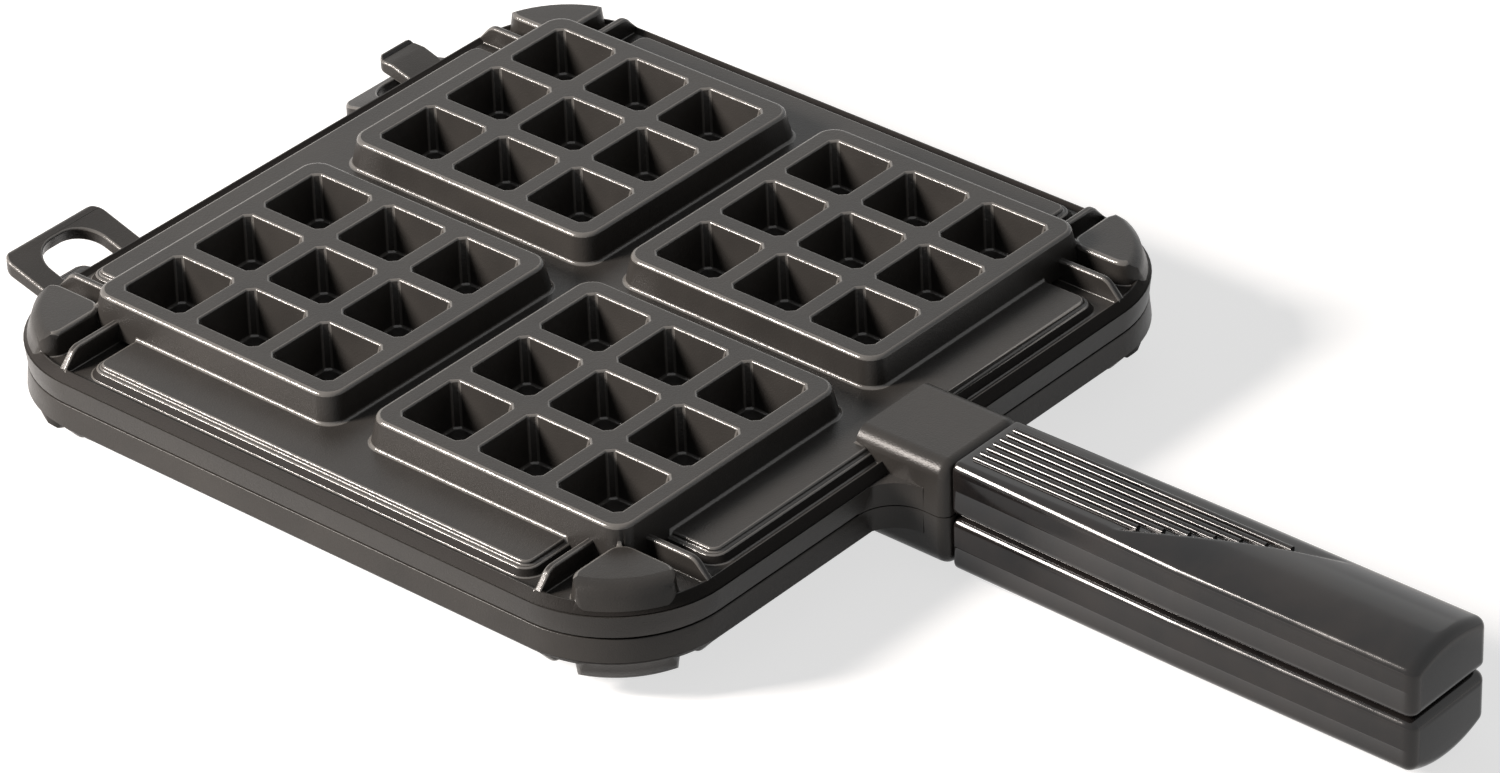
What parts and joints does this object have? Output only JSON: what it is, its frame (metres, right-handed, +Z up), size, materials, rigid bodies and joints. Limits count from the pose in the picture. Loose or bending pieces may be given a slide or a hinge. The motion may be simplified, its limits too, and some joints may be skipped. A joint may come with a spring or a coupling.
{
  "type": "stovetop waffle iron",
  "caption": "Hand-held hob waffle iron: hinged square halves of cast aluminium with raised pitted waffle boxes and slim moulded handles that meet when closed.",
  "frame": {"origin": "middle of the iron's overall length and width, on the plane that the lower half's waffle boxes rest on", "axes": "+Z up, +Y towards the hinge, +X to the right seen from the handles"},
  "size_m": [0.2192, 0.394, 0.0377],
  "materials": {
    "cast_plate": "satin black non-stick coating on cast aluminium",
    "handle_resin": "glossy black phenolic moulding",
    "fastener_steel": "zinc-plated steel"
  },
  "bodies": {
    "lower_half": {"lower_plate": "cast_plate", "lower_handle": "handle_resin", "lower_handle_screw": "fastener_steel", "lower_lock_washer": "fastener_steel"},
    "upper_half": {"upper_plate": "cast_plate", "upper_handle": "handle_resin", "upper_handle_screw": "fastener_steel", "upper_lock_washer": "fastener_steel"}
  },
  "joints": [
    {"name": "hinge", "type": "hinge", "parent": "lower_half", "child": "upper_half", "pos_m": [0, 0.1778, 0.01885], "axis": [-1, 0, 0], "range_deg": [0, 100]}
  ]
}
